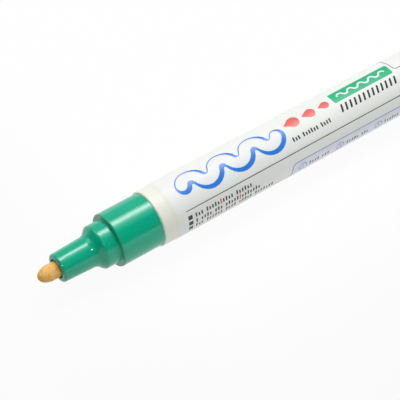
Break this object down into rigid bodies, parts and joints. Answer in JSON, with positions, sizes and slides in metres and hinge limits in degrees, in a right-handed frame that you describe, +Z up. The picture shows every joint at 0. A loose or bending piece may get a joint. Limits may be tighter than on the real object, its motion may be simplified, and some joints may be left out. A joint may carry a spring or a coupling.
{
  "type": "paint marker",
  "caption": "Valve-action paint marker without its cap: fibre bullet nib pressed into a stepped green front section, on a round labelled aluminium barrel with a loose mixing ball.",
  "frame": {"origin": "on the surface the marker lies on, under the middle of its length", "axes": "+X along the marker from the nib to the tail, +Z up, +Y to complete a right-handed frame"},
  "size_m": [0.132, 0.0152, 0.0152],
  "materials": {
    "fibre": "porous bonded fibre, tan",
    "green_plastic": "glossy moulded plastic, green",
    "seal_rubber": "matte elastomer, black",
    "natural_plastic": "satin moulded plastic, natural white",
    "spring_steel": "drawn steel wire",
    "cream_paint": "satin cream paint on aluminium",
    "printed_film": "semi-gloss white film, printed",
    "ball_steel": "polished steel"
  },
  "bodies": {
    "body": {"front_section": "green_plastic", "valve_seat": "seal_rubber", "valve_spring": "spring_steel", "valve_housing": "natural_plastic", "barrel": "cream_paint", "label": "printed_film"},
    "nib": {"nib": "fibre"},
    "valve_stem": {"valve_stem": "natural_plastic"},
    "mixing_ball": {"mixing_ball": "ball_steel"}
  },
  "joints": [
    {"name": "nib_press", "type": "slide", "parent": "body", "child": "nib", "axis": [1, 0, 0], "range_m": [0, 0.0025], "stiffness_N_per_m": 300},
    {"name": "stem_lift", "type": "slide", "parent": "body", "child": "valve_stem", "axis": [1, 0, 0], "range_m": [0, 0.0025], "deforming": ["valve_spring"]},
    {"name": "ball_roll", "type": "slide", "parent": "body", "child": "mixing_ball", "axis": [-1, 0, 0], "range_m": [0, 0.0856]}
  ],
  "couplings": [
    {"joint": "stem_lift", "follows": "nib_press", "ratio": 1}
  ]
}
